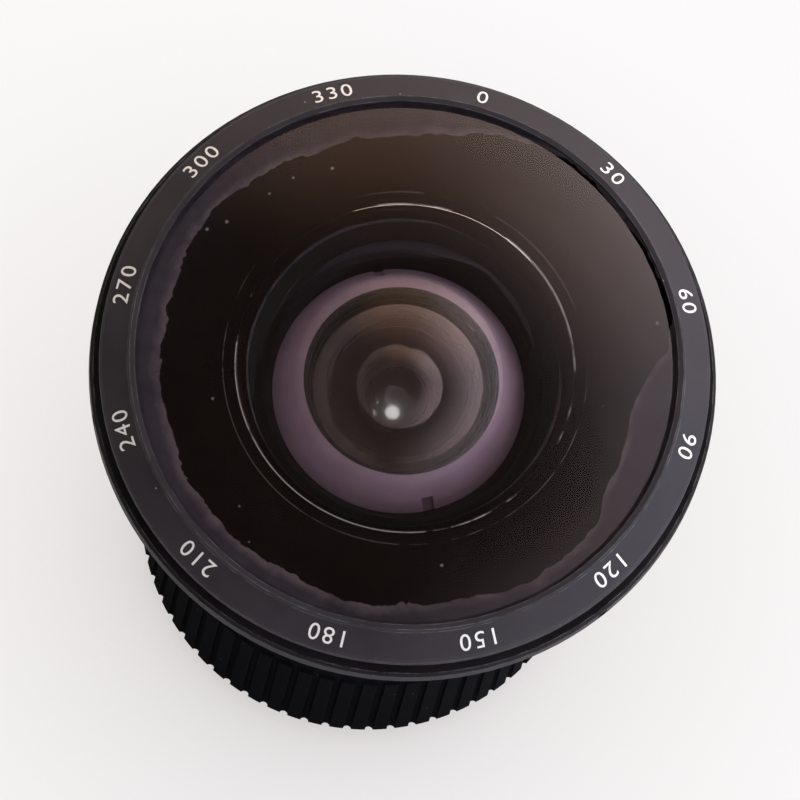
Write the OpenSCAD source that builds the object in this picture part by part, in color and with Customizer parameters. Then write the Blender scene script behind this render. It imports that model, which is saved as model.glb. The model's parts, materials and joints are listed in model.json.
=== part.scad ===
// Fixed-focus fisheye lens on a screw mount, standing on the rear end of its mount thread.
// Millimetres, +Z towards the front of the lens, origin on the optical axis at the rear end.

/* [Rear mount] */
// Outer diameter of the mount thread
thread_d = 42; // [38:0.5:43]
// Length of the mount thread behind its shoulder
thread_len = 5; // [3.5:0.5:8]
// Thickness of the mount flange
flange_t = 4; // [3.5:0.1:6]
// Bore of the mount ring, round the rear cell
mount_bore_d = 33; // [31:0.5:35]
// Thickness of the lip that holds the rear baffle
mount_lip_t = 1.5; // [1:0.1:2]
// Width of that lip
mount_lip_w = 2; // [1:0.1:3]

/* [Aperture ring] */
// Height of the ring
ring_h = 26; // [24:0.5:30]
// Height of its ribbed grip, from the lower edge
rib_h = 21.5; // [16:0.5:22]
// Number of ribs
rib_count = 64; // [40:1:72]
// Depth of the grooves between the ribs
rib_depth = 0.55; // [0.4:0.05:1]
// Width of a groove at the surface
rib_groove_w = 1; // [0.8:0.05:1.7]
// Wall between the bore and the bottom of the grooves
ring_wall = 2; // [1.6:0.1:3]
// How far the smooth scale band lies below the ribs
band_step = 0.4; // [0.2:0.05:0.7]
// Chamfer on the ring's edges
ring_chamfer = 0.5; // [0.2:0.1:0.9]

/* [Aperture stops] */
// Pitch diameter of the drive ring's internal teeth
drive_pitch_d = 42; // [40:0.5:46]
// Teeth on the stop disc
disc_teeth = 26; // [24:1:27]
// Internal teeth on the drive ring
drive_teeth = 42; // [41:1:44]
// Diameter of the widest stop
stop_d = 3.2; // [2:0.1:3.4]
// Number of stops, each half the area of the one before
stop_count = 4; // [2:1:4]
// Angle between stops on the disc
stop_step = 45; // [42:1:48]
// Thickness of the stop disc
disc_t = 1; // [0.6:0.1:1.5]
// Thickness of the plate that the disc turns on
stop_plate_t = 2; // [1.5:0.1:3]
// Thickness of the light-shield plate in front of the disc
front_plate_t = 1.2; // [0.8:0.1:2]
// Diameter of the disc's pivot
pivot_d = 3; // [2:0.1:3.4]
// Backlash between the teeth
backlash = 0.15; // [0.1:0.01:0.25]

/* [Core barrel] */
// Wall of the core barrel
core_wall = 1.45; // [1.3:0.05:2.5]
// Wall of the drive ring behind its teeth
drive_wall = 1.7; // [1.5:0.1:2.5]
// Thickness of the core barrel's floor
core_floor_t = 3.5; // [3:0.1:5]
// Length of the core barrel's thread in the front housing
core_thread_len = 5; // [4:0.5:7]

/* [Index collar and click] */
// Height of the index collar
collar_h = 3.6; // [3.4:0.1:6]
// Diameter of the click ball
ball_d = 1.5; // [1.2:0.05:1.6]
// Travel of the click ball into a detent
click_travel = 0.25; // [0.15:0.01:0.3]
// Diameter of the index dot
dot_d = 1.4; // [0.8:0.1:2]

/* [Front housing] */
// Outer diameter of the rim's lip
rim_d = 78; // [76:0.5:84]
// Height of the straight neck
neck_h = 13.5; // [6:0.5:18]
// Radius of the flare from the neck to the rim
flare_r = 18; // [15:0.5:24]
// Wall of the housing
housing_wall = 2.4; // [2:0.1:2.5]
// Height of the rim's lip
lip_t = 2.5; // [2.3:0.1:4]
// How far the lip stands out from the wall above it
lip_step = 1.6; // [1:0.1:2]
// Height of the wall between the lip and the name ring
rim_wall_h = 1.6; // [1.3:0.1:4]
// Thickness of the housing's inner web
web_t = 3; // [2.5:0.1:4]

/* [Name ring] */
// How far the ring's outer edge lies inside the lip
name_inset = 1; // [0.6:0.1:1.5]
// Width of the sloping face
bevel_w = 3.3; // [2.5:0.1:3.6]
// Rise of the sloping face
bevel_h = 1.8; // [1.2:0.1:2.4]
// Height of the ring's outer edge
name_edge_h = 1.3; // [0.8:0.1:2]
// Chamfer on the ring's outer edge
name_chamfer = 0.35; // [0.2:0.05:0.6]
// Height of the bead round the glass above the sloping face
bead_h = 0.5; // [0.3:0.1:0.8]
// Width of the bead round the glass
bead_w = 0.9; // [0.7:0.1:1.2]
// Length of the threaded skirt
skirt_len = 4.6; // [4:0.1:4.8]
// Wall of the threaded skirt
skirt_t = 1.6; // [1.2:0.1:1.7]

/* [Front element] */
// Radius of the domed front
dome_r = 62; // [58:1:80]
// Thickness at the edge
front_edge_t = 5.4; // [5:0.1:6]
// Radius of the hollow rear surface
bowl_r = 23; // [22:0.5:28]
// Diameter of the hollow rear surface
bowl_d = 39; // [36:0.5:40]
// Thickness of the seal under its edge
seal_t = 0.4; // [0.3:0.1:0.8]

/* [Second element] */
// Diameter of the second element
second_d = 32.6; // [32:0.1:33]
// Thickness at the edge
second_edge_t = 3.6; // [3.4:0.1:4.5]
// Radius of its domed front
second_dome_r = 34; // [32:1:40]
// Radius of its hollow rear
second_bowl_r = 15.5; // [15:0.5:20]
// Diameter of its hollow rear
second_bowl_d = 25; // [22:0.5:25.5]
// Depth of its seat below the rear of the front element
second_depth = 9.2; // [9:0.1:11]
// Clear diameter of its retaining ring
second_clear_d = 26.8; // [25:0.2:28]
// Diameter of its retaining ring
retainer_d = 37.4; // [36:0.1:38]
// Thickness of the retaining ring over the glass
retainer_t = 1.8; // [1.4:0.1:2]
// Width of its spanner slots
spanner_w = 1.6; // [1:0.1:2]
// Angle of its spanner slots
spanner_angle = 117; // [0:1:360]
// Wall of the second cell
second_wall = 2.2; // [1.6:0.1:2.6]

/* [Doublets] */
// Diameter of the front doublet
front_d = 18; // [16:0.1:18.4]
// Edge thickness of the front doublet's crown
front_crown_t = 3; // [2.8:0.1:3.4]
// Edge thickness of the front doublet's flint
front_flint_t = 3.4; // [3.2:0.1:4]
// Radius of its front surface
front_face_r = 24; // [16:0.5:28]
// Radius of its cemented surface
front_joint_r = 20; // [18:0.5:26]
// Diameter of the rear doublet
rear_d = 20; // [18:0.1:20.4]
// Edge thickness of the rear doublet's crown
rear_crown_t = 2.6; // [2.4:0.1:3]
// Edge thickness of the rear doublet's flint
rear_flint_t = 3; // [2.8:0.1:3.4]
// Radius of its front surface
rear_face_r = 24; // [20:0.5:30]
// Radius of its cemented surface
rear_joint_r = 26; // [22:0.5:32]
// Wall of the two doublet cells
cell_wall = 2.4; // [2:0.1:2.6]
// Height of the doublets' retaining rings
cell_retainer_t = 1.6; // [1.2:0.1:2]

/* [Screws] */
// Diameter of the screws' shanks
screw_d = 1.6; // [1.2:0.1:1.8]
// Diameter of the screws' heads
screw_head_d = 2.8; // [2.6:0.1:3]
// Height of the screws' heads
screw_head_h = 1; // [0.8:0.1:1.3]
// Number of mount screws, collar screws and rim screws
screw_count = 3; // [3:1:4]
// Angle of the first rim screw
rim_screw_angle = 205; // [0:5:360]

/* [Hidden] */
$fn = 96;

// Clearances: running fits, sliding faces, threaded or seated fits, and cement
run_gap = 0.05;
face_gap = 0.3;
seat_gap = 0.03;
cement_gap = 0.02;
// Extra depth for cuts that open a face
cut = 1;
// Depth of a screwdriver slot, and its width
slot_depth = 0.6;
slot_w = 0.45;

black_metal = "#26262a";
satin_black = "#1b1b1e";
worn_anodise = "#6a5a66";
brass = "#b59a52";
steel = "#b9bcc0";
glass = [0.75, 0.82, 0.86, 0.45];
rubber = "#101010";
enamel = "#f2efe6";

// Gear train, from the inside outwards
pressure_angle = 20;
gear_module = drive_pitch_d / drive_teeth;
addendum = 0.95 * gear_module;
internal_addendum = 0.9 * gear_module;
dedendum = 1.25 * gear_module;
tooth_thickness = PI * gear_module / 2;
disc_pitch_r = gear_module * disc_teeth / 2;
drive_pitch_r = drive_pitch_d / 2;
pivot_offset = drive_pitch_r - disc_pitch_r;
ring_ratio = drive_teeth / disc_teeth;
ring_step = stop_step / ring_ratio;
ring_travel = (stop_count - 1) * ring_step;
drive_tip_r = drive_pitch_r - internal_addendum;
drive_root_r = drive_pitch_r + dedendum;
drive_out_r = drive_root_r + drive_wall;

// Radii of the barrel and ring
core_in_r = drive_out_r + 2 * run_gap;
core_out_r = core_in_r + core_wall;
ring_in_r = core_out_r + run_gap;
rib_root_r = ring_in_r + ring_wall;
ring_out_r = rib_root_r + rib_depth;
band_r = ring_out_r - band_step;
collar_r = band_r;
flange_lap = 0.7;
flange_r = ring_in_r + flange_lap;
ring_skirt_r = flange_r + face_gap;
thread_r = thread_d / 2;
mount_bore_r = mount_bore_d / 2;
click_r = (ring_in_r + band_r) / 2;

// Heights from the rear end to the index collar
flange_z = thread_len;
core_z = flange_z + flange_t;
ring_z = flange_z + face_gap;
ring_seat_z = core_z + face_gap;
ring_top_z = ring_z + ring_h;
collar_z = ring_top_z + face_gap;
neck_z = collar_z + collar_h;
core_top_z = neck_z + core_thread_len;
floor_top_z = core_z + core_floor_t;
plate_top_z = floor_top_z + stop_plate_t;
disc_z = plate_top_z + face_gap;
disc_top_z = disc_z + disc_t;
pivot_r = pivot_d / 2;
pivot_shoulder_w = 0.3;
pivot_head_lap = 0.9;
pivot_screw_r = pivot_r - pivot_shoulder_w;
pivot_head_r = pivot_r + pivot_head_lap;
pivot_head_h = screw_head_h;
pivot_head_z = disc_top_z + face_gap / 2;
drive_z = floor_top_z + face_gap;
drive_top_z = pivot_head_z + pivot_head_h + face_gap;
front_plate_z = drive_top_z + face_gap;
plate_step_w = 0.4;
plate_retainer_z = front_plate_z + front_plate_t;
plate_retainer_h = 2;
plate_retainer_w = 3;

// Screws in the rear half
screw_r = screw_d / 2;
head_r = screw_head_d / 2;
mount_screw_r = (thread_r + flange_r) / 2;
mount_screw_grip = 2.45;
mount_screw_len = flange_t + mount_screw_grip;
stop_plate_r = drive_tip_r - 2 * face_gap;
plate_hole_gap = 2.6;
plate_hole_r = stop_d / 2 + plate_hole_gap;
shield_hole_gap = 1.2;
shield_hole_r = plate_hole_r + shield_hole_gap;
plate_screw_r = stop_plate_r - 2 * screw_r;
plate_screw_angles = [145, 215];
drive_screw_z = (drive_z + drive_top_z) / 2;
drive_screw_in_r = drive_root_r + face_gap;
drive_screw_angle = 90 - ring_travel / 2;
drive_slot_margin = asin((screw_r + face_gap) / core_in_r);

// Rear cell and rear doublet
rear_r = rear_d / 2;
rear_cell_r = rear_r + seat_gap + cell_wall;
baffle_t = 0.8;
baffle_gap = 0.8;
rear_cell_z = mount_lip_t + baffle_t + baffle_gap;
rear_flint_z = rear_cell_z + cell_retainer_t;
rear_crown_z = rear_flint_z + rear_flint_t;
rear_land_z = rear_crown_z + rear_crown_t;
rear_cell_top_z = floor_top_z - face_gap;
rear_land_w = 1.5;
rear_clear_r = rear_r - rear_land_w;
retainer_step = 0.9;

// Front housing
neck_r = collar_r;
rim_r = rim_d / 2;
name_r = rim_r - name_inset;
rim_wall_r = rim_r - lip_step;
flare_center_r = neck_r + flare_r;
flare_z = neck_z + neck_h;
flare_top_r = name_r;
flare_rise = sqrt(pow(flare_r, 2) - pow(flare_center_r - flare_top_r, 2));
under_lip_h = 2;
lip_z = flare_z + flare_rise + under_lip_h;
lip_top_z = lip_z + lip_t;
housing_top_z = lip_top_z + rim_wall_h;
lip_chamfer = 0.4;
web_z = core_top_z + face_gap;
web_top_z = web_z + web_t;

// Name ring and front element
bevel_in_r = name_r - bevel_w;
name_in_r = bevel_in_r - bead_w;
front_lap = 0.8;
front_r = name_in_r + front_lap;
pocket_r = front_r + 2 * run_gap;
skirt_in_r = pocket_r;
skirt_out_r = skirt_in_r + skirt_t;
bevel_z = housing_top_z + name_edge_h;
bead_z = bevel_z + bevel_h;
bead_top_z = bead_z + bead_h;
skirt_z = housing_top_z - skirt_len;
front_rise = 2.4;
front_edge_z = housing_top_z + front_rise;
front_rear_z = front_edge_z - front_edge_t;
seal_z = front_rear_z - seal_t;
seal_w = 2.4;
ledge_w = 3.2;
dome_center_z = front_edge_z - sqrt(pow(dome_r, 2) - pow(front_r, 2));
name_under_z = dome_center_z + sqrt(pow(dome_r, 2) - pow(name_in_r, 2)) + 2 * run_gap;
bowl_rim_r = bowl_d / 2;
bowl_center_z = front_rear_z - sqrt(pow(bowl_r, 2) - pow(bowl_rim_r, 2));
rim_screw_z = (lip_z + lip_top_z) / 2;

// Second cell
second_r = second_d / 2;
second_z = front_rear_z - second_depth;
second_edge_z = second_z + second_edge_t;
second_dome_z = second_edge_z - sqrt(pow(second_dome_r, 2) - pow(second_r, 2));
second_bowl_rim_r = second_bowl_d / 2;
second_bowl_z = second_z - sqrt(pow(second_bowl_r, 2) - pow(second_bowl_rim_r, 2));
second_pocket_r = second_r + run_gap;
second_clear_r = second_clear_d / 2;
retainer_r = retainer_d / 2;
retainer_bore_r = retainer_r + run_gap;
retainer_skirt_h = 1;
retainer_z = second_edge_z - retainer_skirt_h;
retainer_under_z = second_dome_z + sqrt(pow(second_dome_r, 2) - pow(second_clear_r, 2)) + 2 * run_gap;
retainer_top_z = retainer_under_z + retainer_t;
retainer_slope = (retainer_under_z - second_edge_z) / (second_r - second_clear_r);
retainer_outer_z = retainer_top_z - retainer_slope * (retainer_r - second_clear_r);
second_cell_r = retainer_bore_r + second_wall;
second_cell_gap = 1.2;
second_cell_top_z = front_rear_z - second_cell_gap;
second_land_h = 2;
second_bowl_gap = 0.4;
spigot_below = 2;
spigot_z = web_z - spigot_below;

// Front cell and front doublet
front_doublet_r = front_d / 2;
front_cell_r = front_doublet_r + seat_gap + cell_wall;
spigot_wall = 5.5;
spigot_r = front_cell_r + seat_gap + spigot_wall;
front_cell_top_z = web_top_z - face_gap;
front_lip_t = 1.5;
front_land_z = front_cell_top_z - front_lip_t;
front_crown_z = front_land_z - front_crown_t;
front_flint_z = front_crown_z - front_flint_t;
front_cell_z = front_flint_z - cell_retainer_t;
front_land_w = 0.9;
front_clear_r = front_doublet_r - front_land_w;
cell_stop_w = 1.4;

// Click ball and its spring
ball_r = ball_d / 2;
ball_hole_r = ball_r + run_gap;
ball_rise = 0.15;
ball_z = collar_z + ball_rise;
race_r = ball_r + 2 * run_gap;
click_angle = 60;
spring_wire_r = 0.11;
spring_inset = 0.15;
spring_r = ball_r - spring_inset;
spring_turns = 5;
spring_z = ball_z + ball_r + run_gap + spring_wire_r;
spring_h = neck_z - spring_wire_r - run_gap - spring_z;
spring_sides = 6;
rings_per_turn = 8;
spring_rings = rings_per_turn * spring_turns;

// Screws and index dot of the collar
collar_screw_z = (collar_z + neck_z) / 2;
collar_screw_in_r = core_out_r - core_wall / 2;
collar_screw_angle = 90;
dot_r = dot_d / 2;
dot_angle = -90;
dot_depth = 0.8;
dot_proud = 0.06;

// Involute of a circle at a pressure angle, in degrees
function involute(a) = tan(a) * 180 / PI - a;

// Half the angle that a tooth takes up at radius r
function tooth_half(r, pitch_r, thickness) =
    let (base_r = pitch_r * cos(pressure_angle), a = r > base_r ? acos(base_r / r) : 0)
    thickness / (2 * pitch_r) * 180 / PI + involute(pressure_angle) - involute(a);

// Outline of a gear with the given root, tip and tooth thickness at the pitch circle
module gear_outline(teeth, pitch_r, root_r, tip_r, thickness, steps = 4) {
    radii = [for (i = [0 : steps]) root_r + (tip_r - root_r) * i / steps];
    half = [for (r = radii) tooth_half(r, pitch_r, thickness)];
    polygon([for (t = [0 : teeth - 1])
             for (k = [0 : 2 * steps + 1])
             let (i = k <= steps ? k : 2 * steps + 1 - k,
                  a = 360 * t / teeth + (k <= steps ? -half[i] : half[i]))
             radii[i] * [cos(a), sin(a)]]);
}

// A ring of metal between two radii
module tube(out_r, in_r, z, h) {
    translate([0, 0, z])
        linear_extrude(h)
            difference() {
                circle(out_r);
                circle(in_r);
            }
}

// A spherical cap that stands on the plane at z
module cap(z, cap_r, surface_r) {
    intersection() {
        translate([0, 0, z - sqrt(pow(surface_r, 2) - pow(cap_r, 2))])
            sphere(surface_r);
        translate([0, 0, z])
            cylinder(r = cap_r, h = surface_r);
    }
}

// A round glass with a flat rear at z, an edge of the given thickness and a domed front
module domed_glass(z, glass_r, edge_t, surface_r) {
    intersection() {
        translate([0, 0, z])
            cylinder(r = glass_r, h = surface_r);
        translate([0, 0, z + edge_t - sqrt(pow(surface_r, 2) - pow(glass_r, 2))])
            sphere(surface_r);
    }
}

// Positive glass of a doublet: a flat land and a cap in front, and a domed rear to be cemented
module crown(z, glass_r, edge_t, clear_r, face_r, joint_r) {
    intersection() {
        translate([0, 0, z - joint_r])
            cylinder(r = glass_r, h = joint_r + edge_t);
        translate([0, 0, z + sqrt(pow(joint_r, 2) - pow(glass_r, 2))])
            sphere(joint_r);
    }
    cap(z + edge_t, clear_r, face_r);
}

// Negative glass of a doublet, below the plane where the crown's edge begins
module flint(z, glass_r, edge_t, joint_r) {
    difference() {
        translate([0, 0, z])
            cylinder(r = glass_r, h = edge_t - cement_gap);
        translate([0, 0, z + edge_t + sqrt(pow(joint_r, 2) - pow(glass_r, 2))])
            sphere(joint_r + cement_gap);
    }
}

// Places its children at a radius, evenly round the axis
module around(count, radius, first = 0) {
    for (i = [0 : count - 1])
        rotate(first + 360 * i / count)
            translate([radius, 0, 0])
                children();
}

// A screw whose head sits at z = 0 with its shank pointing up
module screw(len) {
    difference() {
        union() {
            cylinder(r = head_r, h = screw_head_h);
            cylinder(r = screw_r, h = len);
        }
        translate([-screw_head_d, -slot_w / 2, -cut])
            cube([2 * screw_head_d, slot_w, slot_depth + cut]);
    }
}

// The hole for that screw, with a clearance all round
module screw_hole(len) {
    translate([0, 0, -cut])
        cylinder(r = head_r + seat_gap, h = screw_head_h + seat_gap + cut);
    cylinder(r = screw_r + seat_gap, h = len);
}

// A headless screw along +X from radius in_r to out_r, with a slot at its outer end
module grub(in_r, out_r) {
    difference() {
        translate([in_r, 0, 0])
            rotate([0, 90, 0])
                cylinder(r = screw_r, h = out_r - in_r);
        translate([out_r - slot_depth, -slot_w / 2, -screw_d])
            cube([slot_depth + cut, slot_w, 2 * screw_d]);
    }
}

// The radial hole for a headless screw
module grub_hole(in_r, out_r) {
    translate([in_r, 0, 0])
        rotate([0, 90, 0])
            cylinder(r = screw_r + seat_gap, h = out_r - in_r);
}

// Mount ring: thread, shoulder and flange
module t_mount() {
    color(black_metal)
        difference() {
            union() {
                cylinder(r = thread_r, h = core_z);
                translate([0, 0, flange_z])
                    cylinder(r = flange_r, h = flange_t);
            }
            translate([0, 0, -cut])
                cylinder(r = mount_bore_r - mount_lip_w, h = core_z + 2 * cut);
            translate([0, 0, mount_lip_t])
                cylinder(r = mount_bore_r, h = core_z);
            around(screw_count, mount_screw_r)
                translate([0, 0, flange_z])
                    screw_hole(mount_screw_len);
        }
}

// Screws through the mount flange into the core barrel
module mount_screws() {
    color(steel)
        around(screw_count, mount_screw_r)
            translate([0, 0, flange_z + seat_gap])
                screw(mount_screw_len - 2 * seat_gap);
}

// Light baffle behind the rear cell
module rear_baffle() {
    color(satin_black)
        tube(mount_bore_r - seat_gap, rear_r, mount_lip_t, baffle_t);
}

// Cell of the rear doublet, screwed into the core barrel's floor
module rear_cell() {
    color(black_metal)
        difference() {
            translate([0, 0, rear_cell_z])
                cylinder(r = rear_cell_r, h = rear_cell_top_z - rear_cell_z);
            translate([0, 0, rear_cell_z - cut])
                cylinder(r = rear_r + retainer_step + seat_gap, h = cell_retainer_t + cut);
            translate([0, 0, rear_cell_z])
                cylinder(r = rear_r + seat_gap, h = rear_land_z - rear_cell_z + seat_gap);
            translate([0, 0, rear_cell_z])
                cylinder(r = rear_clear_r + seat_gap, h = rear_cell_top_z);
        }
}

// Positive glass of the rear doublet
module rear_crown() {
    color(glass)
        crown(rear_crown_z, rear_r, rear_crown_t, rear_clear_r, rear_face_r, rear_joint_r);
}

// Negative glass of the rear doublet
module rear_flint() {
    color(glass)
        flint(rear_flint_z, rear_r, rear_flint_t, rear_joint_r);
}

// Threaded ring that holds a doublet, with two spanner slots in its rear face
module cell_ring(out_r, in_r, z) {
    difference() {
        tube(out_r, in_r, z, cell_retainer_t - seat_gap);
        translate([-2 * out_r, -spanner_w / 2, z - cut])
            cube([4 * out_r, spanner_w, slot_depth + cut]);
    }
}

module rear_retainer() {
    color(satin_black)
        cell_ring(rear_r + retainer_step, rear_clear_r, rear_cell_z);
}

// Inner barrel: floor, wall with the drive screw's slot, and front thread
module core_barrel() {
    color(black_metal)
        difference() {
            translate([0, 0, core_z])
                cylinder(r = core_out_r, h = core_top_z - core_z);
            translate([0, 0, floor_top_z])
                cylinder(r = core_in_r, h = core_top_z);
            translate([0, 0, front_plate_z])
                cylinder(r = core_in_r + plate_step_w, h = core_top_z);
            translate([0, 0, core_z - cut])
                cylinder(r = rear_cell_r + seat_gap, h = core_floor_t + 2 * cut);
            around(screw_count, mount_screw_r)
                translate([0, 0, flange_z])
                    cylinder(r = screw_r + seat_gap, h = mount_screw_len);
            for (a = plate_screw_angles)
                rotate(a)
                    translate([plate_screw_r, 0, floor_top_z - core_floor_t / 2])
                        cylinder(r = screw_r + seat_gap, h = core_floor_t);
            rotate(drive_screw_angle - drive_slot_margin)
                rotate_extrude(angle = ring_travel + 2 * drive_slot_margin)
                    translate([core_in_r - cut, drive_screw_z - screw_r - face_gap])
                        square([core_wall + 2 * cut, screw_d + 2 * face_gap]);
            for (i = [0 : screw_count - 1])
                rotate(collar_screw_angle + 360 * i / screw_count)
                    translate([0, 0, collar_screw_z])
                        grub_hole(collar_screw_in_r, core_out_r + cut);
        }
}

// Plate behind the stop disc, which carries its pivot
module stop_plate() {
    color(satin_black)
        difference() {
            translate([0, 0, floor_top_z])
                cylinder(r = stop_plate_r, h = stop_plate_t);
            translate([0, 0, floor_top_z - cut])
                cylinder(r = plate_hole_r, h = stop_plate_t + 2 * cut);
            translate([pivot_offset, 0, floor_top_z - cut])
                cylinder(r = pivot_screw_r + seat_gap, h = stop_plate_t + 2 * cut);
            for (a = plate_screw_angles)
                rotate(a)
                    translate([plate_screw_r, 0, plate_top_z])
                        rotate([180, 0, 0])
                            screw_hole(stop_plate_t + cut);
        }
}

// Screws that hold the stop plate to the floor
module plate_screws() {
    color(steel)
        for (a = plate_screw_angles)
            rotate(a)
                translate([plate_screw_r, 0, plate_top_z - seat_gap])
                    rotate([180, 0, 0])
                        screw(stop_plate_t + core_floor_t / 2 - 2 * seat_gap);
}

// Shoulder screw that the stop disc turns on
module stop_pivot() {
    color(steel)
        translate([pivot_offset, 0, 0])
            difference() {
                union() {
                    translate([0, 0, floor_top_z])
                        cylinder(r = pivot_screw_r, h = stop_plate_t + face_gap);
                    translate([0, 0, plate_top_z])
                        cylinder(r = pivot_r, h = pivot_head_z - plate_top_z);
                    translate([0, 0, pivot_head_z])
                        cylinder(r = pivot_head_r, h = pivot_head_h);
                }
                translate([-pivot_d, -slot_w / 2, pivot_head_z + pivot_head_h - slot_depth])
                    cube([2 * pivot_d, slot_w, slot_depth + cut]);
            }
}

// Toothed disc with one hole for each stop; the first is on the optical axis
module stop_disc() {
    color(brass)
        translate([pivot_offset, 0, disc_z])
            linear_extrude(disc_t)
                difference() {
                    gear_outline(disc_teeth, disc_pitch_r, disc_pitch_r - dedendum,
                                 disc_pitch_r + addendum, tooth_thickness - backlash / 2);
                    circle(pivot_r + run_gap);
                    for (i = [0 : stop_count - 1])
                        rotate(180 - i * stop_step)
                            translate([pivot_offset, 0])
                                circle(d = stop_d / pow(sqrt(2), i));
                }
}

// Ring with internal teeth that turns the stop disc
module drive_ring() {
    color(brass)
        difference() {
            translate([0, 0, drive_z])
                linear_extrude(drive_top_z - drive_z)
                    difference() {
                        circle(drive_out_r);
                        gear_outline(drive_teeth, drive_pitch_r, drive_tip_r, drive_root_r,
                                     tooth_thickness + backlash / 2);
                    }
            rotate(drive_screw_angle)
                translate([0, 0, drive_screw_z])
                    grub_hole(drive_screw_in_r - seat_gap, core_out_r);
        }
}

// Screw that carries the drive ring round with the aperture ring
module drive_screw() {
    color(steel)
        rotate(drive_screw_angle)
            translate([rib_root_r, 0, drive_screw_z])
                rotate([0, -90, 0])
                    screw(rib_root_r - drive_screw_in_r);
}

// Outline of the ribbed grip
module rib_outline() {
    groove_r = (pow(rib_groove_w / 2, 2) + pow(rib_depth, 2)) / (2 * rib_depth);
    difference() {
        circle(ring_out_r);
        around(rib_count, rib_root_r + groove_r)
            circle(groove_r, $fn = 32);
    }
}

// Ribbed ring that sets the aperture: a skirt round the mount flange, which keeps the ring on,
// and a race with detents for the click ball
module aperture_ring() {
    color(satin_black)
        difference() {
            union() {
                intersection() {
                    translate([0, 0, ring_z])
                        linear_extrude(rib_h)
                            rib_outline();
                    rotate_extrude()
                        polygon([[0, ring_z], [ring_out_r - ring_chamfer, ring_z],
                                 [ring_out_r, ring_z + ring_chamfer],
                                 [ring_out_r, ring_z + rib_h - ring_chamfer],
                                 [ring_out_r - ring_chamfer, ring_z + rib_h], [0, ring_z + rib_h]]);
                }
                rotate_extrude()
                    polygon([[0, ring_z + rib_h - cut], [rib_root_r, ring_z + rib_h - cut],
                             [rib_root_r, ring_z + rib_h], [band_r, ring_z + rib_h],
                             [band_r, ring_top_z - ring_chamfer], [band_r - ring_chamfer, ring_top_z],
                             [0, ring_top_z]]);
            }
            translate([0, 0, ring_z - cut])
                cylinder(r = ring_in_r, h = ring_h + 2 * cut);
            translate([0, 0, ring_z - cut])
                cylinder(r = ring_skirt_r, h = ring_seat_z - ring_z + cut);
            rotate_extrude()
                translate([click_r, ball_z])
                    circle(race_r);
            for (i = [0 : stop_count - 1])
                rotate(click_angle - i * ring_step)
                    translate([click_r, 0, ball_z - click_travel])
                        sphere(race_r);
            rotate(drive_screw_angle)
                translate([ring_out_r, 0, drive_screw_z])
                    rotate([0, -90, 0])
                        drive_screw_hole();
        }
}

// Hole for the drive screw's head and shank
module drive_screw_hole() {
    translate([0, 0, -cut])
        cylinder(r = head_r + seat_gap, h = rib_depth + screw_head_h + cut);
    cylinder(r = screw_r + seat_gap, h = rib_depth + ring_wall + cut);
}

// Light shield in front of the stop disc
module front_plate() {
    color(satin_black)
        tube(core_in_r + plate_step_w - seat_gap, shield_hole_r, front_plate_z, front_plate_t);
}

// Threaded ring that holds the light shield
module plate_retainer() {
    color(black_metal)
        difference() {
            tube(core_in_r + plate_step_w - seat_gap, core_in_r + plate_step_w - plate_retainer_w,
                 plate_retainer_z, plate_retainer_h);
            translate([-2 * core_in_r, -spanner_w / 2, plate_retainer_z + plate_retainer_h - slot_depth])
                cube([4 * core_in_r, spanner_w, slot_depth + cut]);
        }
}

// Fixed ring with the index dot, in front of the aperture ring
module index_collar() {
    color(black_metal)
        difference() {
            tube(collar_r, core_out_r + seat_gap, collar_z, collar_h);
            rotate(click_angle)
                translate([click_r, 0, collar_z - cut])
                    cylinder(r = ball_hole_r, h = collar_h + 2 * cut);
            for (i = [0 : screw_count - 1])
                rotate(collar_screw_angle + 360 * i / screw_count)
                    translate([0, 0, collar_screw_z])
                        grub_hole(core_out_r - cut, collar_r + cut);
            rotate(dot_angle)
                translate([collar_r - dot_depth, 0, collar_screw_z])
                    rotate([0, 90, 0])
                        cylinder(r = dot_r + seat_gap, h = dot_depth + cut);
        }
}

// Headless screws that fix the index collar
module collar_screws() {
    color(steel)
        for (i = [0 : screw_count - 1])
            rotate(collar_screw_angle + 360 * i / screw_count)
                translate([0, 0, collar_screw_z])
                    grub(collar_screw_in_r + seat_gap, collar_r - 2 * seat_gap);
}

// Enamelled index dot
module index_dot() {
    color(enamel)
        rotate(dot_angle)
            translate([collar_r - dot_depth, 0, collar_screw_z])
                rotate([0, 90, 0])
                    cylinder(r = dot_r, h = dot_depth + dot_proud);
}

// Ball that drops into the aperture ring's detents
module click_ball() {
    color(steel)
        rotate(click_angle)
            translate([click_r, 0, ball_z])
                sphere(ball_r);
}

// Point on the click spring's wire: ring i of the coil, corner k of the wire
function spring_point(i, k) =
    let (turn = 360 * spring_turns * i / spring_rings, side = 360 * k / spring_sides,
         r = spring_r + spring_wire_r * (cos(side) - 1))
    [r * cos(turn), r * sin(turn), spring_h * i / spring_rings + spring_wire_r * sin(side)];

// Coil spring that presses the ball down
module click_spring() {
    last = spring_rings * spring_sides;
    walls = [for (i = [0 : spring_rings - 1])
             for (k = [0 : spring_sides - 1])
             let (a = i * spring_sides + k, b = i * spring_sides + (k + 1) % spring_sides)
             each [[a, a + spring_sides, b], [b, a + spring_sides, b + spring_sides]]];
    ends = [for (k = [1 : spring_sides - 2])
            each [[0, k, k + 1], [last, last + k + 1, last + k]]];
    color(steel)
        rotate(click_angle)
            translate([click_r, 0, spring_z])
                polyhedron([for (i = [0 : spring_rings])
                            for (k = [0 : spring_sides - 1])
                            spring_point(i, k)],
                           concat(walls, ends));
}

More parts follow.
